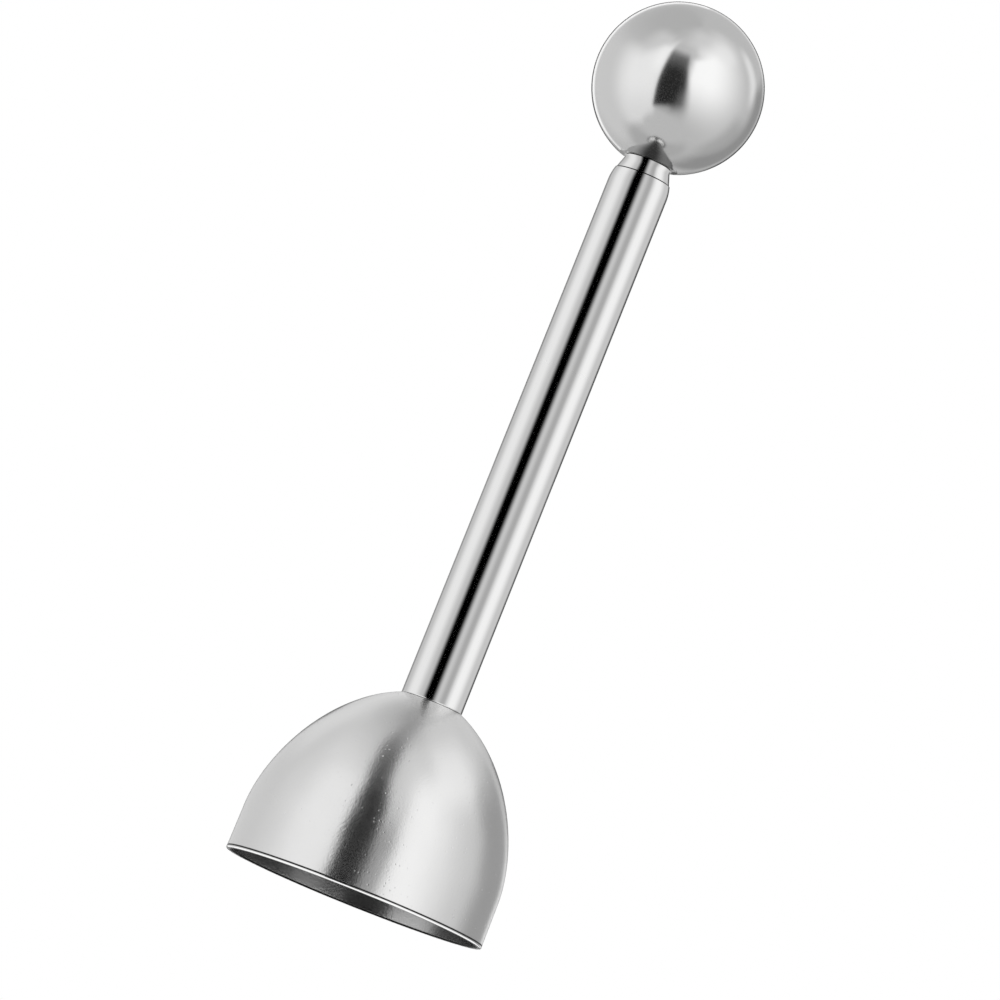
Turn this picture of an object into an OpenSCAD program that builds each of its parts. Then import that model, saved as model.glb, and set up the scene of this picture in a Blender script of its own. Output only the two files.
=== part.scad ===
// Egg topper: a spring-driven shell cracker.
// A domed bell stands on its rim, mouth down. A tube handle stands on the bell's crown
// and holds a compression spring. A polished ball sits on the collar at the tube's top.
// The ball is pulled up along the axis and let go: the spring throws it back on the
// collar, and the blow runs down the tube into the bell's rim.
// Origin: centre of the bell's rim. +Z runs up the common axis, towards the ball.

/* [Bell] */
// Diameter of the bell where the dome meets the skirt
bell_d = 42.8; // [42:0.1:44]
// How far the rim stands out past that diameter, on the radius
rim_flare = 0.12; // [0:0.02:0.3]
// Height of the nearly straight skirt above the rim
skirt_h = 7.5; // [6:0.5:9]
// Height at which the dome's curve would close over the axis
dome_apex = 34.1; // [33:0.1:36]
// Fullness of the dome across, 2 is an ellipse
dome_full_r = 1.82; // [1.75:0.01:2]
// Fullness of the dome upwards, 2 is an ellipse
dome_full_z = 1.75; // [1.7:0.01:2]
// Thickness of the bell's sheet
wall = 0.9; // [0.8:0.05:1]
// Rounding of the rim's two edges
rim_round = 0.24; // [0.1:0.02:0.26]

/* [Handle tube] */
// Outer diameter of the tube at the bell
tube_base_d = 10.15; // [10:0.05:10.3]
// Outer diameter of the tube below its rounded shoulder
tube_top_d = 9.93; // [9.8:0.01:10]
// Inner diameter of the tube
tube_bore_d = 8; // [7.9:0.1:8.2]
// Length of the tube from the crown to the seam under the collar
tube_len = 90.2; // [80:0.1:100]
// Radius of the curve that draws the tube's top in
shoulder_r = 8; // [6:0.5:9]
// Angle to which the shoulder turns in at the seam
shoulder_angle = 17; // [12:1:18]

/* [Collar and guide] */
// Radius of the collar's foot at the seam
collar_foot_r = 4.5; // [4.4:0.05:4.55]
// Radius of the collar's top edge
collar_top_r = 3.7; // [3.5:0.05:3.9]
// Height of the collar above the seam
collar_h = 2.48; // [2:0.02:3.2]
// Length of the guide plug's shank inside the tube
guide_len = 10; // [8:0.5:12]
// Running clearance on the radius between rod and guide
guide_clear = 0.05; // [0.02:0.01:0.1]

/* [Ball] */
// Diameter of the ball
ball_d = 27.5; // [26:0.1:29]
// Height of the ball's centre above the flat it strikes with
ball_rise = 12.82; // [12:0.02:13]
// Depth of the threaded hole in the ball
ball_hole = 14; // [10:0.5:15]

/* [Rod and spring] */
// Diameter of the pull rod
rod_d = 4; // [3.8:0.1:4.1]
// Diameter of the rod's threaded foot
foot_d = 3; // [2.8:0.1:3.1]
// Wire diameter of the spring
wire_d = 0.8; // [0.6:0.05:0.8]
// Mean diameter of the spring's turns
coil_d = 6.2; // [5.9:0.1:6.4]
// Number of turns
turns = 18; // [12:1:18]
// Installed length of the spring with the ball down
spring_len = 37; // [36:0.5:42]
// How far the ball can be pulled up before the spring's turns close
travel = 22; // [10:1:22]

/* [Bell screw] */
// Thread diameter of the screw and of the tapped plug
screw_d = 4; // [3.5:0.5:4]
// Length of the screw under its head
screw_len = 10; // [8:1:10]
// Clearance hole in the bell's crown
crown_hole_d = 4.3; // [4.1:0.1:4.5]
// Length of the tapped plug in the tube's lower end
plug_len = 10; // [9:0.5:12]

/* [Hidden] */
$fn = 96;

gap = 0.05;            // play between faces that slide or turn on each other
strike_gap = 0.04;     // the ball's flat above the collar, at rest
edge = 0.1;            // broken edges of turned pieces

bell_a = bell_d / 2;
rim_r = bell_a + rim_flare;
land_r = bell_a - wall;                 // inside of the skirt, a true cylinder

// Dome as a superellipse: u = 0 at the axis, u = 90 at the skirt
function dome(u) = [bell_a * pow(sin(u), 2 / dome_full_r),
                    skirt_h + (dome_apex - skirt_h) * pow(cos(u), 2 / dome_full_z)];
function unit(v) = v / norm(v);
function dome_dir(u) = unit(dome(min(u + 0.2, 90)) - dome(u - 0.2));
// The sheet's inner face: one wall thickness inside the dome, along its normal
function dome_in(u) = let (d = dome_dir(u)) u >= 89.9 ? [land_r, skirt_h]
                      : dome(u) + wall * [d[1], -d[0]];

// The crown is flat where the tube stands on it
seat_r = tube_base_d / 2 + 0.12;
seat_u = asin(pow(seat_r / bell_a, dome_full_r / 2));
seat_z = dome(seat_u)[1];
crown_z = seat_z - wall;                // flat inside of the crown
function inner_u(lo, hi, n = 24) = let (m = (lo + hi) / 2) n == 0 ? m
    : dome_in(m)[1] > crown_z ? inner_u(m, hi, n - 1) : inner_u(lo, m, n - 1);
in_u = inner_u(6, 40);

seam_z = seat_z + tube_len;
collar_z = seam_z + collar_h;
flat_z = collar_z + strike_gap;
ball_z = flat_z + ball_rise;
guide_z = seam_z - guide_len;           // lower face of the guide plug
spring_top = guide_z - gap;
spring_low = guide_z - spring_len + gap;
washer_z = spring_low - gap;            // top of the washer under the spring
washer_t = 0.8;
foot_z = washer_z + gap;                // the rod's shoulder
nut_z = washer_z - washer_t - gap;      // top of the stop nut
stop_nut_h = 2.4;
lock_nut_h = 1.8;
rod_low = nut_z - stop_nut_h - lock_nut_h - 0.9;

function arc(c, r, a0, a1, n) = [for (i = [0:n]) let (a = a0 + (a1 - a0) * i / n)
                                 c + r * [cos(a), sin(a)]];

// Spun bell: flat crown, dome, nearly straight skirt, rim with two rounded edges
module bell() {
    n = 40;
    k = rim_round;
    color("gainsboro") rotate_extrude() polygon(concat(
        [[crown_hole_d / 2, seat_z]],
        [for (i = [0:n]) dome(seat_u + (90 - seat_u) * i / n)],
        arc([rim_r - k, k], k, 0, -90, 5),
        arc([land_r + k, k], k, -90, -180, 5),
        [[land_r, skirt_h]],
        [for (i = [n - 1:-1:0]) dome_in(in_u + (90 - in_u) * i / n)],
        [[crown_hole_d / 2, crown_z]]));
}

// Drawn tube, its top end swaged in to a rounded shoulder
module handle_tube() {
    b = tube_base_d / 2;
    t = tube_top_d / 2;
    a = shoulder_angle;
    z0 = seam_z - shoulder_r * sin(a);
    color("silver") rotate_extrude() polygon(concat(
        [[tube_bore_d / 2, seat_z], [b - edge, seat_z], [b, seat_z + edge]],
        arc([t - shoulder_r, z0], shoulder_r, 0, a, 8),
        [[tube_bore_d / 2, seam_z]]));
}

// Turned plug in the tube's top: shank, conical collar, bore that guides the rod
module guide_plug() {
    r = rod_d / 2 + guide_clear;
    s = tube_bore_d / 2;
    color("lightgray") rotate_extrude() polygon([
        [r + 0.3, guide_z], [s - 0.3, guide_z], [s, guide_z + 0.3], [s, seam_z],
        [collar_foot_r, seam_z], [collar_top_r, collar_z - 0.12],
        [collar_top_r - 0.12, collar_z], [r + 0.25, collar_z],
        [r, collar_z - 0.25], [r, guide_z + 0.3]]);
}

// Solid ball with a flat turned on its underside and a threaded hole for the rod
module ball_weight() {
    color("whitesmoke") difference() {
        translate([0, 0, ball_z]) sphere(d = ball_d);
        translate([0, 0, flat_z - 10]) cylinder(d = ball_d, h = 10);
        translate([0, 0, flat_z - 1]) cylinder(d = rod_d, h = ball_hole + 1);
        translate([0, 0, flat_z - 0.001]) cylinder(r1 = rod_d / 2 + 0.4, r2 = rod_d / 2, h = 0.4);
    }
}

// Rod from the ball down to the spring's lower seat, its foot stepped down and threaded
module pull_rod() {
    r = rod_d / 2;
    f = foot_d / 2;
    top = flat_z + ball_hole - 1;
    color("silver") rotate_extrude() polygon([
        [0, rod_low], [f - 0.4, rod_low], [f, rod_low + 0.4], [f, foot_z],
        [r - edge, foot_z], [r, foot_z + edge], [r, top - 0.5], [r - 0.5, top], [0, top]]);
}

// Compression spring: one closed turn at each end, open turns between
wire_r = wire_d / 2;
close_pitch = wire_d + 0.04;
rise = spring_top - spring_low - wire_d;
open_pitch = (rise - 2 * close_pitch) / (turns - 2);
function coil_h(t) = t < 1 ? close_pitch * t
    : t > turns - 1 ? rise - close_pitch * (turns - t)
    : close_pitch + open_pitch * (t - 1);
module striker_spring() {
    per = 16;
    sides = 6;
    rings = turns * per;
    pts = [for (i = [0:rings], j = [0:sides - 1])
        let (a = 360 * i / per, b = 360 * j / sides, r = coil_d / 2 + wire_r * cos(b))
        [r * cos(a), r * sin(a), spring_low + wire_r + coil_h(i / per) + wire_r * sin(b)]];
    skin = [for (i = [0:rings - 1], j = [0:sides - 1])
        let (k = (j + 1) % sides, p = i * sides, q = p + sides)
        each [[p + j, p + k, q + k], [p + j, q + k, q + j]]];
    low = [for (j = [sides - 1:-1:0]) j];
    high = [for (j = [0:sides - 1]) rings * sides + j];
    color("darkgray") polyhedron(points = pts, faces = concat(skin, [low, high]));
}

// Flat ring with broken edges
module washer(outer, inner, low, h, e = 0.1) {
    rotate_extrude() polygon([
        [inner / 2, low], [outer / 2 - e, low], [outer / 2, low + e],
        [outer / 2, low + h - e], [outer / 2 - e, low + h], [inner / 2, low + h]]);
}

module lower_spring_washer() {
    color("silver") washer(7.4, foot_d + 2 * guide_clear, washer_z - washer_t, washer_t);
}

// Hexagon nut with its corners turned off at both faces
module nut(low, h, across, thread) {
    c = across / sqrt(3);
    difference() {
        intersection() {
            translate([0, 0, low]) cylinder(r = c, h = h, $fn = 6);
            rotate_extrude() polygon([
                [0, low], [c - 0.35, low], [c, low + 0.25],
                [c, low + h - 0.25], [c - 0.35, low + h], [0, low + h]]);
        }
        translate([0, 0, low - 1]) cylinder(d = thread, h = h + 2);
    }
}

module stop_nut() {
    color("silver") nut(nut_z - stop_nut_h, stop_nut_h, 5.5, foot_d);
}

module lock_nut() {
    color("silver") nut(nut_z - stop_nut_h - lock_nut_h, lock_nut_h, 5.5, foot_d);
}

// Plug pressed in the tube's lower end, tapped from below for the bell's screw
module lower_plug() {
    r = tube_bore_d / 2;
    s = screw_d / 2;
    d = screw_len - 2;
    color("lightgray") rotate_extrude() polygon([
        [s, seat_z], [r, seat_z], [r, seat_z + plug_len - 0.4],
        [r - 0.4, seat_z + plug_len], [0, seat_z + plug_len],
        [0, seat_z + d + 1], [s, seat_z + d]]);
}

flat_t = 0.8;
split_t = 0.9;
head_z = crown_z - flat_t - split_t;    // underside of the screw's head
head_h = 2.4;
head_r = 3.9;

module screw_flat_washer() {
    color("silver") washer(9, crown_hole_d, crown_z - flat_t, flat_t);
}

// Split spring washer, drawn up flat
module screw_spring_washer() {
    color("darkgray") difference() {
        washer(7.2, screw_d + 0.2, head_z, split_t);
        translate([0, 3, head_z + split_t / 2]) rotate([0, 30, 0])
            cube([0.5, 4, 4], center = true);
    }
}

// Pan head screw with a cross recess, seen from inside the bell
module bell_screw() {
    s = screw_d / 2;
    color("silver") difference() {
        rotate_extrude() polygon(concat(
            [[0, head_z + screw_len], [s - 0.4, head_z + screw_len],
             [s, head_z + screw_len - 0.4], [s, head_z], [head_r, head_z]],
            arc([head_r - 1.2, head_z - head_h + 1.2], 1.2, 0, -90, 6),
            [[0, head_z - head_h]]));
        intersection() {
            translate([0, 0, head_z - head_h + 0.8]) {
                cube([0.9, 4.4, 1.7], center = true);
                cube([4.4, 0.9, 1.7], center = true);
            }
            translate([0, 0, head_z - head_h - 0.1]) cylinder(r1 = 2.2, r2 = 1.3, h = 1.9);
        }
    }
}

bell();
handle_tube();
guide_plug();
ball_weight();
pull_rod();
striker_spring();
lower_spring_washer();
stop_nut();
lock_nut();
lower_plug();
bell_screw();
screw_spring_washer();
screw_flat_washer();
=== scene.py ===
import math

import bpy
import bmesh
import numpy as np
from mathutils import Matrix, Vector


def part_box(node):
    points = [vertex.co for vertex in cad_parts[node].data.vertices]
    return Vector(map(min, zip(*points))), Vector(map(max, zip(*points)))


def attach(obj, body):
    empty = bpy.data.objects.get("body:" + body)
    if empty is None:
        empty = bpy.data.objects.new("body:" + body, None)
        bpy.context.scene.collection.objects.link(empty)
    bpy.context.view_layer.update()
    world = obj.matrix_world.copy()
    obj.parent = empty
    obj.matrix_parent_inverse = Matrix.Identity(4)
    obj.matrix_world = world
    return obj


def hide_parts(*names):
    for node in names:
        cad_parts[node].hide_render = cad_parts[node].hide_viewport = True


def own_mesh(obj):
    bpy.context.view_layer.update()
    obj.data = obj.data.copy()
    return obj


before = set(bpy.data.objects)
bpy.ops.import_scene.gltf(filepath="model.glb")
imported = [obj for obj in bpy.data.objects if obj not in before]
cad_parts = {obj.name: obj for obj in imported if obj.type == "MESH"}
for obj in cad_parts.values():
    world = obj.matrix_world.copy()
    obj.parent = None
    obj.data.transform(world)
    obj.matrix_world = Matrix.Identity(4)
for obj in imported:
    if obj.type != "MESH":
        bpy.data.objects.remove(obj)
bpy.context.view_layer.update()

scene = bpy.context.scene
MM = 0.001
TAU = 2 * math.pi


# ---------------------------------------------------------------- camera
# The view is from just below the plane of the rim, with the tool leaning to the right.
def aim_camera():
    rise = math.radians(6.5)
    lean = math.radians(21.85)
    look = Vector((0, math.cos(rise), math.sin(rise)))
    level = Vector((1, 0, 0))
    up0 = Vector((0, -math.sin(rise), math.cos(rise)))
    right = level * math.cos(lean) + up0 * math.sin(lean)
    up = up0 * math.cos(lean) - level * math.sin(lean)
    data = bpy.data.cameras.new("camera")
    data.lens = 288.0
    data.sensor_width = 36.0
    data.clip_start = 0.05
    data.clip_end = 20.0
    cam = bpy.data.objects.new("camera", data)
    place = Vector((-0.0016, -1.2525, -0.0758)) - 0.00031 * (0.928 * right - 0.373 * up)
    m = Matrix.Identity(4)
    for i, column in enumerate((right, up, -look)):
        for j in range(3):
            m[j][i] = column[j]
    m.translation = place
    cam.matrix_world = m
    scene.collection.objects.link(cam)
    scene.camera = cam


aim_camera()


# ---------------------------------------------------------------- node graphs
class Graph:
    """Short names for the nodes that the materials and the light are made of."""

    def __init__(self, tree):
        self.tree = tree
        tree.nodes.clear()

    def node(self, kind, **settings):
        n = self.tree.nodes.new(kind)
        for k, v in settings.items():
            setattr(n, k, v)
        return n

    def put(self, socket, value):
        if isinstance(value, bpy.types.NodeSocket):
            self.tree.links.new(value, socket)
        elif hasattr(socket.default_value, "__len__") and not hasattr(value, "__len__"):
            socket.default_value = [value] * len(socket.default_value)
        else:
            socket.default_value = value

    def math(self, op, a, b=None, c=None, clamp=False):
        n = self.node("ShaderNodeMath", operation=op, use_clamp=clamp)
        for s, v in zip(n.inputs, (a, b, c)):
            if v is not None:
                self.put(s, v)
        return n.outputs[0]

    def add(self, a, b): return self.math("ADD", a, b)
    def sub(self, a, b): return self.math("SUBTRACT", a, b)
    def mul(self, a, b): return self.math("MULTIPLY", a, b)
    def mad(self, a, b, c): return self.math("MULTIPLY_ADD", a, b, c)
    def top(self, a, b): return self.math("MAXIMUM", a, b)

    def step(self, x, a, b, lo=0.0, hi=1.0):
        """Smooth step from lo at a to hi at b."""
        n = self.node("ShaderNodeMapRange", interpolation_type="SMOOTHSTEP")
        n.clamp = True
        if isinstance(a, (int, float)) and isinstance(b, (int, float)) and a > b:
            a, b, lo, hi = b, a, hi, lo
        for name, v in (("Value", x), ("From Min", a), ("From Max", b), ("To Min", lo), ("To Max", hi)):
            self.put(n.inputs[name], v)
        return n.outputs[0]

    def blend(self, a, b, f):
        """a where f is 0, b where f is 1."""
        return self.mad(self.sub(b, a), f, a)

    def box(self, x, y, x0, x1, sx0, sx1, y0, y1, sy0, sy1):
        """1 inside a rectangle of x and y, with soft edges of the half widths given."""
        across = self.mul(self.step(x, x0 - sx0, x0 + sx0), self.step(x, x1 + sx1, x1 - sx1))
        along = self.mul(self.step(y, y0 - sy0, y0 + sy0), self.step(y, y1 + sy1, y1 - sy1))
        return self.mul(across, along)

    def vector(self, x=0.0, y=0.0, z=0.0):
        n = self.node("ShaderNodeCombineXYZ")
        for s, v in zip(n.inputs, (x, y, z)):
            self.put(s, v)
        return n.outputs[0]

    def split(self, v):
        n = self.node("ShaderNodeSeparateXYZ")
        self.put(n.inputs[0], v)
        return n.outputs

    def noise(self, vector, scale, detail=2.0, rough=0.5, distortion=0.0):
        n = self.node("ShaderNodeTexNoise")
        self.put(n.inputs["Vector"], vector)
        self.put(n.inputs["Scale"], scale)
        self.put(n.inputs["Detail"], detail)
        self.put(n.inputs["Roughness"], rough)
        self.put(n.inputs["Distortion"], distortion)
        return n.outputs[0]

    def cells(self, vector, scale, feature="F1", randomness=1.0):
        n = self.node("ShaderNodeTexVoronoi", feature=feature)
        self.put(n.inputs["Vector"], vector)
        self.put(n.inputs["Scale"], scale)
        self.put(n.inputs["Randomness"], randomness)
        return n.outputs["Distance"]

    def dots(self, vector, scale, inner, outer, share):
        """Round spots on a share of the cells, 1 within inner and 0 beyond outer."""
        n = self.node("ShaderNodeTexVoronoi", feature="F1")
        self.put(n.inputs["Vector"], vector)
        self.put(n.inputs["Scale"], scale)
        pick = self.step(self.split(n.outputs["Color"])[0], 1 - share - 0.01, 1 - share + 0.01)
        return self.mul(self.step(n.outputs["Distance"], outer, inner), pick)

    def stretch(self, vector, sx, sy, sz):
        n = self.node("ShaderNodeVectorMath", operation="MULTIPLY")
        self.put(n.inputs[0], vector)
        n.inputs[1].default_value = (sx, sy, sz)
        return n.outputs[0]

    def bump(self, height, distance, strength=1.0, normal=None):
        n = self.node("ShaderNodeBump")
        n.inputs["Strength"].default_value = strength
        n.inputs["Distance"].default_value = distance
        self.put(n.inputs["Height"], height)
        if normal is not None:
            self.put(n.inputs["Normal"], normal)
        return n.outputs[0]

    def grey(self, value, tint=(1.0, 1.0, 1.0)):
        n = self.node("ShaderNodeCombineColor")
        for s, t in zip(n.inputs, tint):
            self.put(s, value if t == 1.0 else self.mul(value, t))
        return n.outputs[0]


# ---------------------------------------------------------------- light
# Soft boxes round the tool, laid out by azimuth (0 towards the camera, + to the right) and
# elevation: a broad one on the left, a brighter one on the right, a black card between them.
# The white paper behind is what the camera sees directly. This is the light on the ball. The
# bell and the tube have papers of their own close by, further down in this file.
def light_studio():
    world = bpy.data.worlds.new("studio")
    scene.world = world
    world.use_nodes = True
    world.cycles.sampling_method = "NONE"
    g = Graph(world.node_tree)
    ray = g.node("ShaderNodeTexCoord").outputs["Generated"]
    x, y, z = g.split(ray)
    az = g.mul(g.math("ARCTAN2", x, g.mul(y, -1.0)), 180 / math.pi)
    el = g.mul(g.math("ARCSINE", g.math("MAXIMUM", g.math("MINIMUM", z, 1.0), -1.0)), 180 / math.pi)
    away = g.mad(y, math.cos(math.radians(6.5)), g.mul(z, math.sin(math.radians(6.5))))
    back = g.mul(g.math("ARCCOSINE", g.math("MAXIMUM", g.math("MINIMUM", away, 1.0), -1.0)), 180 / math.pi)
    path = g.node("ShaderNodeLightPath").outputs
    again = g.step(path["Ray Depth"], 2.4, 2.6)

    # the room, dimmer at the upper left, hazy at the upper right
    level = g.blend(0.54, 0.48, g.box(az, el, -170, -40, 20, 20, 40, 110, 14, 14))
    level = g.blend(level, 0.67, g.box(az, el, -15, 110, 20, 25, 48, 79, 12, 9))
    level = g.blend(level, 0.76, g.box(az, el, 9, 40, 8, 10, 42, 57, 6, 8))
    # left box, its top cut off slantwise, with its brightest part next to the card
    slope = g.math("MINIMUM", g.top(g.add(az, 62.0), 0.0), 33.0)
    lower = g.mul(g.top(g.step(el, -45, -36), g.step(az, -22, -32)), g.top(g.step(el, 47, 39), g.step(az, -22, -33)))
    level = g.blend(level, 0.64, g.mul(g.box(az, el, -150, 0, 15, 4, -54, 24, 9, 10), lower))
    level = g.blend(level, 0.66, g.box(az, el, -72, -38, 16, 6, 0, 53, 10, 8))
    wide = g.mul(g.box(az, g.sub(el, g.mul(slope, 0.9)), -96, 0, 16, 4, -400, 23, 1, 9),
                 g.step(g.sub(el, g.mul(slope, 0.5)), -70, -56))
    level = g.blend(level, 0.76, g.mul(wide, lower))
    core = g.mul(g.box(az, g.sub(el, g.mul(slope, 0.75)), -82, 0, 16, 4, -400, 17, 1, 10), g.step(el, -62, -8))
    level = g.blend(level, 0.91, g.mul(core, lower))
    level = g.blend(level, 1.0, g.box(az, el, -44, 0, 8, 4, 6, 36, 11, 6))
    # right box, fading to the right, up and down
    start = g.mad(g.top(g.sub(el, 32.0), 0.0), 0.45, 2.0)
    soft = g.mad(g.top(g.sub(el, 32.0), 0.0), 0.9, 6.0)
    right = g.step(g.math("DIVIDE", g.sub(g.sub(az, start), soft), soft), -1.2, 1.0)
    right = g.mul(right, g.step(az, 115, 35))
    right = g.mul(right, g.mul(g.step(el, -55, 15), g.step(el, 80, 44)))
    level = g.blend(level, 1.08, right)
    level = g.blend(level, 0.90, g.mul(g.box(az, el, 42, 84, 14, 14, 44, 64, 8, 10), 0.7))
    level = g.blend(level, 0.86, g.mul(g.box(az, el, 109, 126, 8, 8, 13, 48, 8, 8), 0.9))
    level = g.blend(level, 0.43, g.box(az, el, 99, 125, 12, 8, -50, -4, 14, 8))
    # dark screen at the far right
    level = g.blend(level, 0.30, g.box(az, el, 124, 162, 12, 8, -52, 22, 16, 5))
    # the card: straight on its left, wider towards its foot on its right, soft at its ends
    low = g.top(g.sub(20.0, el), 0.0)
    edge = g.mad(low, 0.37, g.mad(g.top(g.sub(el, 20.0), 0.0), -0.14, 2.9))
    spread = g.mad(low, g.mad(low, 0.0018, 0.05), 3.0)
    card = g.step(g.math("DIVIDE", g.sub(az, edge), spread), 1.0, -1.0)
    card = g.mul(card, g.step(az, -31.2, -26.8))
    along = g.top(g.add(az, 28.0), 0.0)
    base = g.math("DIVIDE", g.sub(g.add(el, 41.3), g.mul(along, 0.06)), g.mad(along, 0.25, 3.8))
    base = g.step(base, -1.0, 1.0)
    pale = g.step(el, 50.0, 29.0, 0.0, 1.0)
    card = g.mul(card, g.mul(pale, g.top(base, again)))
    ink = g.mad(g.step(el, 8, 36), 0.13, 0.02)
    ink = g.mad(g.mul(g.step(az, -3, 17), g.step(el, 2, -20)), 0.13, ink)
    level = g.blend(level, ink, card)
    level = g.blend(level, 0.44, g.mul(g.step(el, -54, -66), g.step(g.math("ABSOLUTE", az), 60, 110)))
    # behind the tool: a bright ring round a dark middle, which draws the thin outlines
    ring = g.mul(g.step(az, 40, 60, 1.08, 0.80), g.blend(1.0, 0.60, g.box(az, el, 100, 400, 12, 1, -45, 18, 10, 6)))
    level = g.blend(level, ring, g.step(g.add(back, g.step(az, 40, 60, 0.0, 2.0)), 35, 26))
    level = g.blend(level, 0.03, g.step(back, 20.5, 16.5))
    notch = g.mul(g.step(g.math("ABSOLUTE", az), 163, 170), g.box(az, el, -400, 400, 1, 1, -16, -2, 3, 3))
    level = g.blend(level, 0.36, notch)
    # light that has met the tool twice comes from the dim table where it comes from below
    below = g.mul(again, g.step(el, 4, -16))
    level = g.mul(level, g.blend(1.0, 0.24, below))
    level = g.mul(level, g.step(path["Ray Depth"], 3.4, 3.6, 1.0, 0.6))
    soft = g.node("ShaderNodeBackground")
    g.put(soft.inputs["Color"], g.grey(level))
    paper = g.node("ShaderNodeBackground")
    paper.inputs["Color"].default_value = (1, 1, 1, 1)
    mix = g.node("ShaderNodeMixShader")
    g.put(mix.inputs[0], path["Is Camera Ray"])
    g.put(mix.inputs[1], soft.outputs[0])
    g.put(mix.inputs[2], paper.outputs[0])
    out = g.node("ShaderNodeOutputWorld")
    g.put(out.inputs["Surface"], mix.outputs[0])
    scene.view_settings.view_transform = "Standard"
    scene.view_settings.look = "None"


light_studio()


# ---------------------------------------------------------------- measures, in millimetres
BELL_A = 21.4
SKIRT = 7.5
APEX = 34.1
WALL = 0.9
SEAT_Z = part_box("handle_tube")[0].z / MM
SEAM_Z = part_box("handle_tube")[1].z / MM
COLLAR_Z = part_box("guide_plug")[1].z / MM
FLAT_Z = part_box("ball_weight")[0].z / MM
CROWN_Z = SEAT_Z - WALL


# ---------------------------------------------------------------- materials
def steel(name, base, rough, coat=0.0, coat_rough=0.5, anisotropic=0.0):
    """A metal material, its graph and its shader. The caller links colour, roughness and normal."""
    m = bpy.data.materials.new(name)
    m.use_nodes = True
    g = Graph(m.node_tree)
    s = g.node("ShaderNodeBsdfPrincipled")
    s.inputs["Metallic"].default_value = 1.0
    s.inputs["Base Color"].default_value = (base, base, base, 1)
    s.inputs["Roughness"].default_value = rough
    if coat:
        s.inputs["Coat Weight"].default_value = coat
        s.inputs["Coat Roughness"].default_value = coat_rough
        s.inputs["Coat IOR"].default_value = 1.45
    if anisotropic:
        s.inputs["Anisotropic"].default_value = anisotropic
    out = g.node("ShaderNodeOutputMaterial")
    g.put(out.inputs["Surface"], s.outputs[0])
    place = g.node("ShaderNodeTexCoord").outputs["Object"]
    return m, g, s, place


def around(g, place):
    """Angle round the axis in turns of 1 radian, height and radius, in metres."""
    x, y, z = g.split(place)
    angle = g.math("ARCTAN2", y, x)
    radius = g.math("SQRT", g.mad(x, x, g.mul(y, y)))
    return x, y, z, angle, radius


def bell_finish():
    m, g, s, place = steel("bell_steel", 0.80, 0.19, coat=0.25, coat_rough=0.5)
    x, y, z, angle, radius = around(g, place)
    # the wall's outer skin, apart from its inside
    up = g.math("POWER", g.mul(g.top(g.sub(z, SKIRT * MM), 0.0), 1 / ((APEX - SKIRT) * MM)), 1.75)
    shell = g.add(g.math("POWER", g.mul(radius, 1 / (BELL_A * MM)), 1.82), up)
    outer = g.step(shell, 0.95, 0.97)
    # waves left by planishing, fine orange peel, small pits, spun lines
    waves = g.noise(place, 190, 1.0, 0.5)
    peel = g.noise(place, 2300, 2.0, 0.6)
    grain = g.noise(g.stretch(place, 1, 1, 0.7), 5200, 2.0, 0.6)
    where = g.step(g.noise(place, 150, 2.0, 0.6), 0.38, 0.56)
    pit = g.mul(g.dots(place, 760, 0.03, 0.15, 0.50), where)
    speck = g.mul(g.dots(place, 1500, 0.07, 0.27, 0.19), g.step(g.noise(place, 90, 2.0, 0.5), 0.22, 0.46))
    pit = g.mul(g.top(pit, g.mul(speck, 0.85)), outer)
    lines = g.noise(g.vector(0.0, 0.0, z), 5200, 2.0, 0.7)
    n1 = g.bump(waves, 0.000055, 1.0)
    n2 = g.bump(peel, 0.0000130, 1.0, n1)
    n3 = g.bump(grain, 0.0000080, 1.0, n2)
    n4 = g.bump(g.sub(1.0, pit), 0.000022, 1.0, n3)
    n5 = g.bump(lines, 0.0000008, 1.0, n4)
    g.put(s.inputs["Normal"], n5)
    smudge = g.noise(place, 85, 3.0, 0.55)
    rough = g.mad(smudge, 0.07, 0.155)
    rough = g.add(rough, g.mul(pit, 0.08))
    rough = g.add(rough, g.mul(g.noise(place, 900, 2.0, 0.5), 0.03))
    # the inside is a little smoother, as the spinning former left it
    rough = g.blend(g.sub(rough, 0.03), rough, outer)
    # painted shade: the crease above the rim's bead is painted almost black and duller, as the shade in it; the bead
    # itself is burnished
    crease_shade = g.mul(g.step(z, 0.00029, 0.00035), g.step(z, 0.00064, 0.00052))
    crease_shade = g.mul(crease_shade, g.step(radius, 0.0208, 0.0210))
    ragged = g.step(g.noise(place, 1500, 2.0, 0.5), 0.2, 0.5, 0.85, 1.0)
    crease_shade = g.mul(crease_shade, ragged)
    # painted shade too: the inner edge of the rim is painted almost black
    inner = g.mul(g.step(radius, 0.02098, 0.02088), g.step(z, 0.00034, 0.00022))
    crease_shade = g.top(crease_shade, inner)
    tone = g.mad(g.noise(place, 130, 2.0, 0.5), 0.05, 0.775)
    # the painted shade of the crease and of the rim's inner edge goes into the base colour here
    tone = g.blend(tone, 0.015, crease_shade)
    g.put(s.inputs["Base Color"], g.grey(tone, (1.0, 0.998, 0.995)))
    bead = g.mul(g.step(z, 0.00034, 0.00028), g.step(radius, 0.02098, 0.02108))
    rough = g.blend(rough, 0.10, bead)
    g.put(s.inputs["Roughness"], g.blend(rough, 0.6, crease_shade))
    return m


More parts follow.
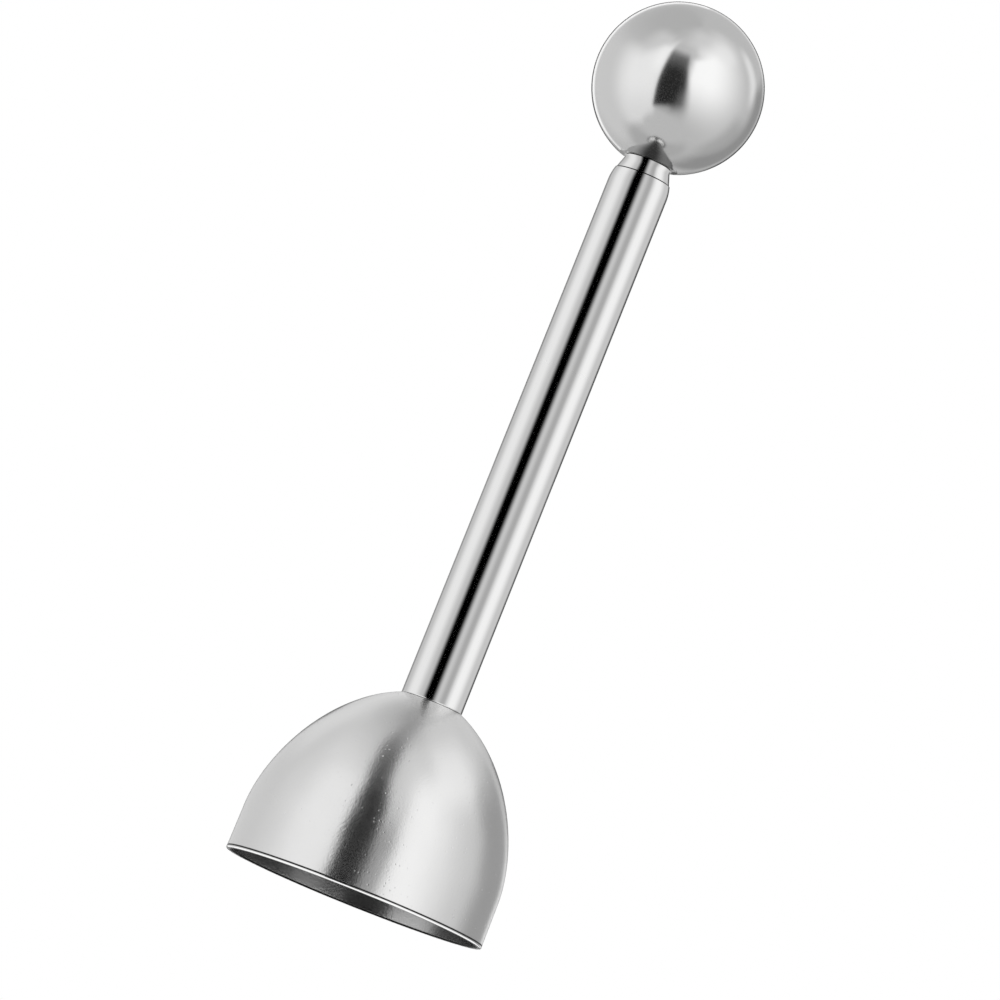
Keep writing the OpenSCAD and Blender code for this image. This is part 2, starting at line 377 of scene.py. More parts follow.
def tube_finish():
    m, g, s, place = steel("tube_steel", 0.83, 0.15)
    x, y, z, angle, radius = around(g, place)
    long = g.vector(x, y, g.mul(z, 0.02))
    lines = g.noise(long, 7000, 2.0, 0.6)
    ripple = g.noise(g.vector(x, y, g.mul(z, 0.06)), 900, 2.0, 0.5)
    n1 = g.bump(ripple, 0.0000035, 1.0)
    n2 = g.bump(lines, 0.0000008, 1.0, n1)
    g.put(s.inputs["Normal"], n2)
    rough = g.mad(g.noise(long, 1600, 2.0, 0.5), 0.04, 0.122)
    # handling marks, a little duller
    rough = g.add(rough, g.mul(g.step(g.noise(place, 120, 3.0, 0.6), 0.4, 0.75), 0.03))
    g.put(s.inputs["Roughness"], rough)
    # painted shade: the seam at the top and the foot of the tube are painted almost black, as the shade in these joints
    seam_shade = g.step(z, (SEAM_Z - 0.13) * MM, (SEAM_Z - 0.09) * MM)
    foot = g.step(z, (SEAT_Z + 0.12) * MM, (SEAT_Z + 0.05) * MM)
    joint_shade = g.top(seam_shade, g.mul(foot, 0.75))
    tone = g.mad(g.noise(long, 500, 2.0, 0.5), 0.03, 0.815)
    # the painted joint shade darkens the base colour here
    g.put(s.inputs["Base Color"], g.grey(g.blend(tone, 0.05, joint_shade), (1.0, 0.999, 0.997)))
    return m


def turned_finish():
    m, g, s, place = steel("turned_steel", 0.82, 0.15, coat=0.1, coat_rough=0.5)
    x, y, z, angle, radius = around(g, place)
    spiral = g.add(z, g.mul(angle, 0.00001))
    rings = g.noise(g.vector(g.mul(angle, 0.00006), radius, spiral), 9000, 2.0, 0.6)
    broad = g.noise(g.vector(0.0, g.mul(radius, 0.4), z), 2600, 1.0, 0.5)
    n1 = g.bump(broad, 0.0000055, 1.0)
    n2 = g.bump(rings, 0.0000034, 1.0, n1)
    # dents from the ball's blows on the top face
    dents = g.noise(place, 1900, 3.0, 0.6)
    n3 = g.bump(g.mul(dents, g.step(z, (COLLAR_Z - 0.22) * MM, (COLLAR_Z - 0.02) * MM)), 0.000009, 1.0, n2)
    g.put(s.inputs["Normal"], n3)
    g.put(s.inputs["Roughness"], g.mad(rings, 0.10, 0.11))
    # painted shade: a band at the seam, where the collar meets the tube, is painted almost black
    seam_shade = g.mul(g.step(z, (SEAM_Z + 0.11) * MM, (SEAM_Z + 0.07) * MM), g.step(z, (SEAM_Z - 2.0) * MM, (SEAM_Z - 0.5) * MM))
    tone = g.mad(g.noise(place, 300, 2.0, 0.5), 0.04, 0.79)
    g.put(s.inputs["Base Color"], g.grey(g.blend(tone, 0.04, seam_shade), (1.0, 0.998, 0.994)))
    return m


def mirror_finish():
    m, g, s, place = steel("mirror_steel", 0.87, 0.13, coat=0.3, coat_rough=0.55)
    x, y, z, angle, radius = around(g, place)
    # the polisher leaves very long shallow waves and a few hairlines
    waves = g.noise(place, 120, 1.0, 0.5)
    fine = g.noise(place, 1400, 2.0, 0.55)
    hair = g.noise(g.stretch(place, 0.06, 1.0, 0.35), 5200, 1.0, 0.5)
    n1 = g.bump(waves, 0.000055, 1.0)
    n2 = g.bump(fine, 0.0000016, 1.0, n1)
    n3 = g.bump(hair, 0.0000003, 1.0, n2)
    # ring of small blows on the flat underneath
    flat = g.mul(g.step(z, (FLAT_Z + 0.04) * MM, (FLAT_Z + 0.02) * MM),
                 g.step(g.math("ABSOLUTE", g.sub(radius, 0.0031)), 0.0008, 0.0003))
    n4 = g.bump(g.mul(g.noise(place, 2200, 2.0, 0.6), flat), 0.000008, 1.0, n3)
    g.put(s.inputs["Normal"], n4)
    smear = g.step(g.noise(g.stretch(place, 1.0, 1.0, 0.7), 150, 3.0, 0.6), 0.45, 0.75)
    g.put(s.inputs["Roughness"], g.mad(smear, 0.03, 0.12))
    g.put(s.inputs["Base Color"], g.grey(g.mad(g.noise(place, 90, 2.0, 0.5), 0.03, 0.85), (1.0, 0.999, 0.996)))
    return m


def rod_finish():
    m, g, s, place = steel("rod_steel", 0.8, 0.11)
    x, y, z, angle, radius = around(g, place)
    long = g.vector(x, y, g.mul(z, 0.03))
    ground = g.noise(g.vector(g.mul(angle, 0.0002), 0.0, z), 8500, 2.0, 0.6)
    drawn = g.noise(long, 6000, 2.0, 0.6)
    n1 = g.bump(ground, 0.000001, 1.0)
    n2 = g.bump(drawn, 0.0000008, 1.0, n1)
    g.put(s.inputs["Normal"], n2)
    g.put(s.inputs["Roughness"], g.mad(ground, 0.10, 0.07))
    oil = g.step(g.noise(place, 500, 3.0, 0.6), 0.45, 0.7)
    g.put(s.inputs["Base Color"], g.grey(g.mad(oil, -0.06, 0.80), (1.0, 0.996, 0.988)))
    return m


def wire_finish():
    m, g, s, place = steel("spring_wire", 0.42, 0.3, coat=0.35, coat_rough=0.2)
    x, y, z, angle, radius = around(g, place)
    die = g.noise(g.vector(g.mul(angle, 0.0004), radius, z), 7000, 3.0, 0.6)
    blot = g.noise(place, 700, 3.0, 0.6)
    g.put(s.inputs["Normal"], g.bump(die, 0.000004, 1.0))
    g.put(s.inputs["Roughness"], g.mad(blot, 0.22, 0.2))
    g.put(s.inputs["Base Color"], g.grey(g.mad(blot, 0.18, 0.33), (1.0, 0.985, 0.96)))
    return m


def fastener_finish():
    m, g, s, place = steel("fastener_steel", 0.68, 0.25)
    x, y, z, angle, radius = around(g, place)
    barrel = g.noise(place, 2600, 3.0, 0.65)
    scuff = g.noise(g.stretch(place, 1.0, 0.12, 0.5), 5200, 2.0, 0.6)
    n1 = g.bump(barrel, 0.0000075, 1.0)
    n2 = g.bump(scuff, 0.0000025, 1.0, n1)
    g.put(s.inputs["Normal"], n2)
    stain = g.step(g.noise(place, 650, 3.0, 0.6), 0.4, 0.7)
    g.put(s.inputs["Roughness"], g.mad(stain, 0.14, 0.19))
    g.put(s.inputs["Base Color"], g.grey(g.mad(stain, -0.10, 0.70), (1.0, 0.992, 0.975)))
    return m


finish = {
    "bell_steel": bell_finish(),
    "tube_steel": tube_finish(),
    "turned_steel": turned_finish(),
    "mirror_steel": mirror_finish(),
    "rod_steel": rod_finish(),
    "spring_wire": wire_finish(),
    "fastener_steel": fastener_finish(),
}


# ---------------------------------------------------------------- mesh code
def make_object(name, verts, faces, normals=None, sharp=None):
    """A smooth-shaded mesh from points in millimetres."""
    me = bpy.data.meshes.new(name)
    me.from_pydata([tuple(v) for v in np.asarray(verts, float) * MM], [], faces)
    me.update()
    for p in me.polygons:
        p.use_smooth = True
    if sharp is not None:
        me.set_sharp_from_angle(angle=math.radians(sharp))
    if normals is not None:
        me.normals_split_custom_set_from_vertices([tuple(n) for n in normals])
    o = bpy.data.objects.new(name, me)
    scene.collection.objects.link(o)
    return o


def skin(name, rings, closed=False, low=None, high=None, sharp=35.0, wrap=True):
    """A surface through rings of points. closed joins the last ring to the first.
    low and high are points on the axis that close the ends, or "cap" for one flat face."""
    rings = np.asarray(rings, float)
    m, n, _ = rings.shape
    verts = list(rings.reshape(-1, 3))
    faces = []
    for i in range(m if closed else m - 1):
        a, b = i * n, ((i + 1) % m) * n
        for j in range(n if wrap else n - 1):
            k = (j + 1) % n
            faces.append((a + j, a + k, b + k, b + j))
    if low is not None:
        if isinstance(low, str):
            faces.append(tuple(range(n - 1, -1, -1)))
        else:
            verts.append(np.array(low, float))
            c = len(verts) - 1
            faces += [(c, (j + 1) % n, j) for j in range(n)]
    if high is not None:
        a = (m - 1) * n
        if isinstance(high, str):
            faces.append(tuple(a + j for j in range(n)))
        else:
            verts.append(np.array(high, float))
            c = len(verts) - 1
            faces += [(c, a + j, a + (j + 1) % n) for j in range(n)]
    return make_object(name, verts, faces, sharp=sharp)


def rounded(points, step=12.0):
    """A profile with its corners rounded. A point is (r, z) or (r, z, radius)."""
    out = []
    count = len(points)
    for i, p in enumerate(points):
        here = np.array(p[:2], float)
        size = p[2] if len(p) > 2 else 0
        if not size:
            out.append(here)
            continue
        a = np.array(points[i - 1][:2], float) - here
        b = np.array(points[(i + 1) % count][:2], float) - here
        la, lb = np.linalg.norm(a), np.linalg.norm(b)
        a, b = a / la, b / lb
        opening = math.acos(max(-1, min(1, float(a @ b))))
        turn = math.pi - opening
        cut = min(size * math.tan(turn / 2), 0.49 * la, 0.49 * lb)
        radius = cut / math.tan(turn / 2)
        centre = here + (a + b) / np.linalg.norm(a + b) * radius / math.sin(opening / 2)
        start, end = here + a * cut - centre, here + b * cut - centre
        a0 = math.atan2(start[1], start[0])
        delta = (math.atan2(end[1], end[0]) - a0 + math.pi) % TAU - math.pi
        k = max(2, math.ceil(abs(math.degrees(delta)) / step))
        for t in range(k + 1):
            w = a0 + delta * t / k
            out.append(centre + radius * np.array([math.cos(w), math.sin(w)]))
    return out


def filled(profile, longest):
    """Splits the profile's long straight runs."""
    out = []
    for i in range(len(profile)):
        a = np.array(profile[i], float)
        out.append(a)
        if i + 1 < len(profile):
            b = np.array(profile[i + 1], float)
            k = int(np.linalg.norm(b - a) // longest)
            out += [a + (b - a) * t / (k + 1) for t in range(1, k + 1)]
    return out


def lathe(name, profile, n=256, ring=True):
    """Turns a profile in (r, z), millimetres, solid on its left, about the axis.
    ring: the profile is a closed loop. Otherwise it starts and ends on the axis."""
    p = np.array([np.array(q, float) for q in profile])
    keep = [0] + [i for i in range(1, len(p)) if np.linalg.norm(p[i] - p[i - 1]) > 1e-6]
    p = p[keep]
    if ring and np.linalg.norm(p[0] - p[-1]) < 1e-6:
        p = p[:-1]
    m = len(p)
    ahead = np.roll(p, -1, 0) - p
    behind = p - np.roll(p, 1, 0)
    if not ring:
        ahead[-1], behind[0] = behind[-1], ahead[0]
    way = ahead + behind          # the longer neighbour counts for more
    n2 = np.stack([way[:, 1], -way[:, 0]], 1)
    n2 /= np.maximum(np.linalg.norm(n2, axis=1, keepdims=True), 1e-12)
    ang = np.arange(n) * TAU / n
    c, s = np.cos(ang), np.sin(ang)
    first, last = (0, m) if ring else (1, m - 1)
    verts, normals = [], []
    for i in range(first, last):
        verts.append(np.stack([p[i, 0] * c, p[i, 0] * s, np.full(n, p[i, 1])], 1))
        normals.append(np.stack([n2[i, 0] * c, n2[i, 0] * s, np.full(n, n2[i, 1])], 1))
    rows = last - first
    verts, normals = np.concatenate(verts), np.concatenate(normals)
    faces = []
    for i in range(rows if ring else rows - 1):
        a, b = i * n, ((i + 1) % rows) * n
        faces += [(a + j, a + (j + 1) % n, b + (j + 1) % n, b + j) for j in range(n)]
    if not ring:
        verts = np.concatenate([verts, [[0, 0, p[0, 1]], [0, 0, p[-1, 1]]]])
        down = -1.0 if p[1, 0] > 0 and n2[1, 1] <= 0 else 1.0
        normals = np.concatenate([normals, [[0, 0, down], [0, 0, 1.0]]])
        lo, hi = rows * n, rows * n + 1
        faces += [(lo, (j + 1) % n, j) for j in range(n)]
        a = (rows - 1) * n
        faces += [(hi, a + j, a + (j + 1) % n) for j in range(n)]
    return make_object(name, verts, faces, normals)


def thread(theta, z, pitch, depth, start, end, fade):
    """How far a right-handed thread is cut in at each angle, at height z."""
    u = (z / pitch - theta / TAU) % 1.0
    cut = np.clip(np.abs(2 * u - 1) * 1.35 - 0.12, 0, 1)
    on = max(0.0, min(1.0, (z - start) / fade)) * max(0.0, min(1.0, (end - z) / fade))
    return depth * cut * on


def place_piece(o, node, body, slot):
    o.data.materials.clear()
    o.data.materials.append(finish[slot])
    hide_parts(node)
    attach(o, body)
    return o


# ---------------------------------------------------------------- bell


def dome(u):
    u = math.radians(u)
    return np.array([BELL_A * math.sin(u) ** (2 / 1.82),
                     SKIRT + (APEX - SKIRT) * max(math.cos(u), 0.0) ** (2 / 1.75)])


def dome_in(u):
    d = dome(min(u + 0.2, 90.0)) - dome(u - 0.2)
    d /= np.linalg.norm(d)
    if u > 89.9:
        return np.array([BELL_A - WALL, SKIRT])
    return dome(u) + WALL * np.array([d[1], -d[0]])


def even(points, spacing):
    """The same curve with points at an even distance."""
    p = np.array(points)
    length = np.concatenate([[0], np.cumsum(np.linalg.norm(np.diff(p, axis=0), axis=1))])
    k = max(2, int(length[-1] / spacing))
    t = np.linspace(0, length[-1], k + 1)
    return [np.array([np.interp(x, length, p[:, 0]), np.interp(x, length, p[:, 1])]) for x in t]


def make_bell():
    seat_u = math.degrees(math.asin((5.195 / BELL_A) ** (1.82 / 2)))
    outer = even([dome(90 - (90 - seat_u) * i / 1200) for i in range(1201)], 0.34)
    lo, hi = 6.0, 40.0
    for _ in range(40):
        mid = (lo + hi) / 2
        if dome_in(mid)[1] > CROWN_Z:
            lo = mid
        else:
            hi = mid
    inner = even([dome_in(lo + (90 - lo) * i / 1200) for i in range(1201)], 0.4)
    rim = 21.52
    land = BELL_A - WALL
    bead = [(rim - 0.34, 0.0, 0.0)]
    profile = []
    # from under the rim, out round the bead, over the crease, up the skirt
    profile += rounded([(land + 0.5, 0.0), (rim - 0.10, 0.0, 0.30), (rim, 0.20, 0.16), (rim - 0.02, 0.42, 0.04),
                        (rim - 0.065, 0.465, 0.03), (rim - 0.02, 0.53, 0.05), (rim - 0.035, 0.8)], 9.0)[0:-1]
    profile += filled([np.array([rim - 0.035, 0.8]), np.array([BELL_A, SKIRT])], 0.45)
    profile += outer[1:]
    profile += filled(rounded([outer[-1], (5.0, SEAT_Z, 0.0)])[1:] + [np.array([2.4, SEAT_Z])], 0.6)
    profile += rounded([(2.6, SEAT_Z), (2.15, SEAT_Z, 0.1), (2.15, CROWN_Z, 0.1), (2.6, CROWN_Z)], 20.0)[1:-1]
    profile += filled([np.array([2.4, CROWN_Z]), np.array(inner[0])], 0.6)[:-1]
    profile += inner
    profile += filled([np.array([land, SKIRT - 0.3]), np.array([land, 0.5])], 0.45)
    profile += rounded([(land, 1.0), (land, 0.0, 0.24), (land + 0.6, 0.0)], 9.0)[1:-1]
    o = lathe("polished_bell", profile, 320)
    return place_piece(o, "bell", "handle", "bell_steel")


def make_tube():
    b, t = 5.075, 4.965
    a = math.radians(17)
    z0 = SEAM_Z - 8 * math.sin(a)
    top_r = t - 8 + 8 * math.cos(a)
    profile = rounded([(4.0, SEAT_Z, 0.08), (b, SEAT_Z, 0.14), (b - 0.001, SEAT_Z + 2)], 15.0)[:-1]
    profile = [q for q in profile if q[0] > 3.999]
    profile += filled([np.array([b, SEAT_Z + 0.4]), np.array([t, z0])], 2.2)[:-1]
    profile += [np.array([t - 8 + 8 * math.cos(a * i / 16), z0 + 8 * math.sin(a * i / 16)]) for i in range(16)]
    profile += rounded([(t - 8 + 8 * math.cos(a * 15.6 / 16), z0 + 8 * math.sin(a * 15.6 / 16)),
                        (top_r, SEAM_Z, 0.09), (4.0, SEAM_Z, 0.06), (4.0, SEAM_Z - 2)], 15.0)[1:-1]
    o = lathe("polished_tube", profile, 256)
    return place_piece(o, "handle_tube", "handle", "tube_steel")


def make_collar():
    low = SEAM_Z - 10
    points = [(2.05, low, 0.3), (4.0, low, 0.35), (4.0, SEAM_Z, 0.0), (4.5, SEAM_Z, 0.09)]
    profile = rounded(points + [(3.70, COLLAR_Z - 0.12)], 15.0)[:-1]
    foot, head = np.array([4.5, SEAM_Z]), np.array([3.70, COLLAR_Z - 0.12])
    along = head - foot
    length = np.linalg.norm(along)
    along /= length
    out = np.array([along[1], -along[0]])
    rows = 110
    for i in range(1, rows):
        d = 0.12 + (length - 0.15) * i / rows
        # fine turned rings, deeper towards the top of the cone
        share = min(1.0, max(0.0, (d / length - 0.25) / 0.3))
        wave = -0.0025 * share * (0.5 - 0.5 * math.cos(TAU * d / 0.29)) ** 3
        profile.append(foot + along * d + out * wave)
    top_r = 3.70 - 0.11 * 0.8 / (COLLAR_Z - 0.12 - SEAM_Z)
    profile += rounded([head, (top_r, COLLAR_Z - 0.01, 0.03), (3.5, COLLAR_Z),
                        (2.05, COLLAR_Z, 0.25), (2.05, COLLAR_Z - 4)], 12.0)[1:-1]
    o = lathe("turned_collar", profile, 256)
    return place_piece(o, "guide_plug", "handle", "turned_steel")


def make_ball():
    r = 13.75
    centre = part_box("ball_weight")[1].z / MM - r
    rise = centre - FLAT_Z
    top_hole = FLAT_Z + 14
    a0 = -math.acos(math.sqrt(max(0.0, r * r - rise ** 2)) / r)
    profile = [np.array([0.0, top_hole + 0.9]), np.array([2.0, top_hole])]
    profile += [np.array([2.0, FLAT_Z + 3]), np.array([2.0, FLAT_Z + 0.5])]
    profile += rounded([(2.0, FLAT_Z + 0.5), (2.0, FLAT_Z + 0.4, 0.05), (2.4, FLAT_Z, 0.05), (4.0, FLAT_Z)], 15.0)[1:]
    edge = r * math.cos(a0)
    k = 150
    arc = [np.array([r * math.cos(a0 + (math.pi / 2 - a0) * i / k), centre + r * math.sin(a0 + (math.pi / 2 - a0) * i / k)])
           for i in range(k + 1)]
    profile += rounded([(4.0, FLAT_Z), (edge, FLAT_Z, 0.4), tuple(arc[3])], 4.0)[1:-1]
    profile += arc[3:]
    profile[-1] = np.array([0.0, centre + r])
    o = lathe("mirror_ball", profile, 256, ring=False)
    return place_piece(o, "ball_weight", "striker", "mirror_steel")


# ---------------------------------------------------------------- rod and spring
ROD_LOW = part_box("pull_rod")[0].z / MM
ROD_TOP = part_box("pull_rod")[1].z / MM
SPRING_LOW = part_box("striker_spring")[0].z / MM
SPRING_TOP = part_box("striker_spring")[1].z / MM


def threaded_bar(name, profile, n, parts, low=None, high=None):
    """Turned bar through a profile in (r, z) with threads cut in some stretches of it."""
    ang = np.arange(n) * TAU / n
    rings = []
    for r, z in profile:
        rr = np.full(n, float(r))
        for part in parts:
            rr = rr - thread(ang, z, *part)
        rings.append(np.stack([rr * np.cos(ang), rr * np.sin(ang), np.full(n, float(z))], 1))
    return skin(name, rings, low=low, high=high, sharp=40.0)


def make_rod():
    n = 72
    foot = 76.475
    profile = [(0.6, ROD_LOW), (1.1, ROD_LOW), (1.14, ROD_LOW + 0.03)]
    z = ROD_LOW + 0.06
    while z < foot - 0.02:
        profile.append((min(1.5, 1.1 + (z - ROD_LOW)), z))
        z += 0.5 / 12
    profile += [(1.5, foot - 0.01), (1.5, foot), (1.9, foot), (1.93, foot + 0.01), (1.99, foot + 0.07), (2.0, foot + 0.1)]
    z = foot + 1
    while z < ROD_TOP - 12.6:
        profile.append((2.0, z))
        z += 1.8
    z = ROD_TOP - 12.4
    while z < ROD_TOP - 0.5:
        profile.append((2.0, z))
        z += 0.7 / 10
    profile += [(2.0, ROD_TOP - 0.5), (1.5, ROD_TOP), (0.8, ROD_TOP)]
    o = threaded_bar("ground_rod", profile, n,
                     [(0.5, 0.27, ROD_LOW + 0.2, foot - 0.4, 0.3), (0.7, 0.38, ROD_TOP - 11.6, ROD_TOP - 0.6, 0.5)],
                     low=(0, 0, ROD_LOW), high=(0, 0, ROD_TOP))
    return place_piece(o, "pull_rod", "striker", "rod_steel")


def make_spring():
    turns, per, sides = 18, 56, 14
    wire = 0.4
    close = 0.84
    rise = SPRING_TOP - SPRING_LOW - 2 * wire
    pitch = (rise - 2 * close) / (turns - 2)

    def height(t):
        if t < 1:
            return close * t
        if t > turns - 1:
            return rise - close * (turns - t)
        return close + pitch * (t - 1)

    rings = []
    total = turns * per
    for i in range(total + 1):
        t = i / per
        a = TAU * t
        h = (height(min(turns, t + 0.02)) - height(max(0, t - 0.02)))
        run = TAU * 3.1 * (min(turns, t + 0.02) - max(0, t - 0.02))
        tilt = math.atan2(h, run)
        out = np.array([math.cos(a), math.sin(a), 0])
        side = np.array([-math.sin(a) * -math.sin(tilt), math.cos(a) * -math.sin(tilt), math.cos(tilt)])
        centre = np.array([3.1 * math.cos(a), 3.1 * math.sin(a), SPRING_LOW + wire + height(t)])
        # the last few degrees of the wire are snipped to a slightly smaller, rounded end
        end = min(i, total - i)
        size = wire * (0.80 + 0.20 * min(1.0, end / 2.0))
        rings.append([centre + size * (math.cos(b) * out + math.sin(b) * side)
                      for b in (-TAU * j / sides for j in range(sides))])
    rings = np.array(rings)
    o = skin("wire_spring", rings, low="cap", high="cap", sharp=50.0)
    flip = bmesh.new()
    flip.from_mesh(o.data)
    bmesh.ops.recalc_face_normals(flip, faces=flip.faces)
    flip.to_mesh(o.data)
    flip.free()
    place_piece(o, "striker_spring", "handle", "spring_wire")
    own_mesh(o)
    return o


def make_washer(name, node, body, slot, outer, inner):
    lo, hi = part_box(node)[0].z / MM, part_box(node)[1].z / MM
    # blanked from strip: the upper outside edge is rounded, the lower one is sharper
    p = rounded([(inner, lo, 0.06), (outer, lo, 0.14), (outer, hi, 0.07), (inner, hi, 0.10)], 18.0)
    return place_piece(lathe(name, p, 160), node, body, slot)


def make_nut(name, node, seed):
    lo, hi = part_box(node)[0].z / MM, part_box(node)[1].z / MM
    n = 144
    ang = np.arange(n) * TAU / n
    half = 2.75
    flat = half / np.cos((ang + seed + math.pi / 6) % (math.pi / 3) - math.pi / 6)
    hexagon = np.minimum(flat, half / math.cos(math.pi / 6) - 0.03)
    hexagon = hexagon if not seed else hexagon
    crown = 2.78
    drop = np.maximum(0.0, hexagon - crown) * math.tan(math.radians(30)) + 0.03

    def ring(r, z):
        r, z = np.broadcast_to(r, (n,)), np.broadcast_to(z, (n,))
        return np.stack([r * np.cos(ang), r * np.sin(ang), z], 1)

    bore = 1.5
    rings = [ring(bore, lo + 0.25), ring(bore + 0.22, lo + 0.02), ring(bore + 0.25, lo),
             ring(crown - 0.12, lo), ring(crown - 0.05, lo + 0.008),
             ring(hexagon - 0.03, lo + drop - 0.012), ring(hexagon - 0.004, lo + drop + 0.01), ring(hexagon, lo + drop + 0.04),
             ring(hexagon, hi - drop - 0.04), ring(hexagon - 0.004, hi - drop - 0.01), ring(hexagon - 0.03, hi - drop + 0.012),
             ring(crown - 0.05, hi - 0.008), ring(crown - 0.12, hi),
             ring(bore + 0.25, hi), ring(bore + 0.22, hi - 0.02), ring(bore, hi - 0.25)]
    # thread inside the bore
    zs = np.linspace(hi - 0.25, lo + 0.25, int((hi - lo - 0.5) / 0.5 * 10) + 2)[1:-1]
    for z in zs:
        u = (z / 0.5 - ang / TAU) % 1.0
        rings.append(ring(bore + 0.0 + 0.10 * np.clip(1 - np.abs(2 * u - 1) * 1.6, 0, 1), z))
    o = skin(name, rings, closed=True, sharp=28.0)
    return place_piece(o, node, "striker", "fastener_steel")


def make_lower_plug():
    lo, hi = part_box("lower_plug")[0].z / MM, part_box("lower_plug")[1].z / MM
    n = 96
    ang = np.arange(n) * TAU / n
    rings = []

    def ring(r, z):
        r = np.broadcast_to(r, (n,))
        rings.append(np.stack([r * np.cos(ang), r * np.sin(ang), np.full(n, z)], 1))

    # hole from its drilled end down to the mouth, with the tapped thread, then round the outside
    bottom = lo + 8
    for r, z in ((0.5, bottom + 0.75), (1.2, bottom + 0.4), (2.0, bottom)):
        ring(r, z)
    z = bottom - 0.07
    while z > lo + 0.32:
        ring(2.0 + 0.16 * np.clip(1 - np.abs(2 * ((z / 0.7 - ang / TAU) % 1.0) - 1) * 1.5, 0, 1), z)
        z -= 0.07
    for r, z in ((2.02, lo + 0.3), (2.3, lo + 0.02), (2.32, lo), (3.82, lo), (3.95, lo + 0.05), (4.0, lo + 0.16),
                 (4.0, lo + 3.0), (4.0, lo + 6.0), (4.0, hi - 0.4), (3.98, hi - 0.36), (3.64, hi - 0.02), (3.6, hi), (1.0, hi)):
        ring(r, z)
    o = skin("tapped_plug", rings, low=(0, 0, bottom + 1.0), high=(0, 0, hi), sharp=35.0)
    return place_piece(o, "lower_plug", "handle", "turned_steel")


def make_split_washer():
    lo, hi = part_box("screw_spring_washer")[0].z / MM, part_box("screw_spring_washer")[1].z / MM
    r0, r1 = 2.1, 3.6
    mid = (lo + hi) / 2
    section = rounded([(r0, lo, 0.09), (r1, lo, 0.09), (r1, hi, 0.09), (r0, hi, 0.09)], 30.0)
    n = 160
    gap = 0.5 / 3.0
    rings = []
    for i in range(n + 1):
        t = i / n
        a = math.pi / 2 + gap / 2 + (TAU - gap) * t
        ring = []
        for r, z in section:
            # the cut runs at a slant through the section
            shift = (z - mid) * math.tan(math.radians(30)) / 3.0
            b = a + shift * (1.0 if t < 0.06 or t > 0.94 else 0.0) * (1 - min(t, 1 - t) / 0.06)
            ring.append((r * math.cos(b), r * math.sin(b), z))
        rings.append(ring)
    o = skin("split_washer", rings, low="cap", high="cap", sharp=40.0)
    flip = bmesh.new()
    flip.from_mesh(o.data)
    bmesh.ops.recalc_face_normals(flip, faces=flip.faces)
    flip.to_mesh(o.data)
    flip.free()
    return place_piece(o, "screw_spring_washer", "handle", "spring_wire")


def make_screw():
    lo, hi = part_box("bell_screw")[0].z / MM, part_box("bell_screw")[1].z / MM
    head = lo + 2.4
    n = 96
    profile = []
    # domed pan head, seen from inside the bell
    for i in range(7):
        r = 0.5 + 2.2 * i / 6
        profile.append((r, lo + 0.10 * (r / 2.7) ** 2))
    profile += [tuple(q) for q in rounded([(2.7, lo + 0.10), (3.9, lo + 0.12, 1.05), (3.9, head, 0.08), (2.05, head)], 9.0)[1:-1]]
    profile += [(2.15, head), (2.02, head + 0.06), (2.0, head + 0.2)]
    z = head + 0.3
    while z < hi - 0.4:
        profile.append((2.0, z))
        z += 0.07
    profile += [(1.98, hi - 0.38), (1.6, hi), (0.8, hi)]
    o = threaded_bar("cross_recess_screw", profile, n, [(0.7, 0.38, head + 0.9, hi - 0.3, 0.5)],
                     low=(0, 0, lo), high=(0, 0, hi))
    # cross recess: four tapered wings, cut with a boolean
    bm = bmesh.new()
    for k in range(2):
        wide, thin = 2.15, 0.44
        ends = []
        for z, w, t in ((lo - 0.4, wide + 0.15, thin + 0.03), (lo + 1.55, wide - 0.85, thin - 0.12)):
            corner = [(-w, -t), (w, -t), (w, t), (-w, t)]
            if k:
                corner = [(-y, x) for x, y in corner]
            ends.append([bm.verts.new((x * MM, y * MM, z * MM)) for x, y in corner])
        bm.faces.new(ends[0][::-1])
        bm.faces.new(ends[1])
        for i in range(4):
            j = (i + 1) % 4
            bm.faces.new((ends[0][i], ends[0][j], ends[1][j], ends[1][i]))
    me = bpy.data.meshes.new("recess_cutter")
    bmesh.ops.recalc_face_normals(bm, faces=bm.faces)
    bm.to_mesh(me)
    bm.free()
    cutter = bpy.data.objects.new("recess_cutter", me)
    scene.collection.objects.link(cutter)
    cut = o.modifiers.new("recess", "BOOLEAN")
    cut.operation = "DIFFERENCE"
    cut.solver = "EXACT"
    cut.use_self = True
    cut.object = cutter
    dg = bpy.context.evaluated_depsgraph_get()
    done = bpy.data.meshes.new_from_object(o.evaluated_get(dg))
    o.modifiers.clear()
    o.data = done
    for p in o.data.polygons:
        p.use_smooth = True
    o.data.set_sharp_from_angle(angle=math.radians(35))
    bpy.data.objects.remove(cutter)
    return place_piece(o, "bell_screw", "handle", "fastener_steel")


make_bell()
make_tube()
make_collar()
make_ball()
make_rod()
make_spring()
make_washer("spring_seat_washer", "lower_spring_washer", "spring_seat", "fastener_steel", 3.7, 1.55)
make_nut("foot_stop_nut", "stop_nut", 0.0)
make_nut("foot_lock_nut", "lock_nut", 0.35)
make_lower_plug()
make_screw()
make_split_washer()
make_washer("plain_washer", "screw_flat_washer", "handle", "fastener_steel", 4.5, 2.15)


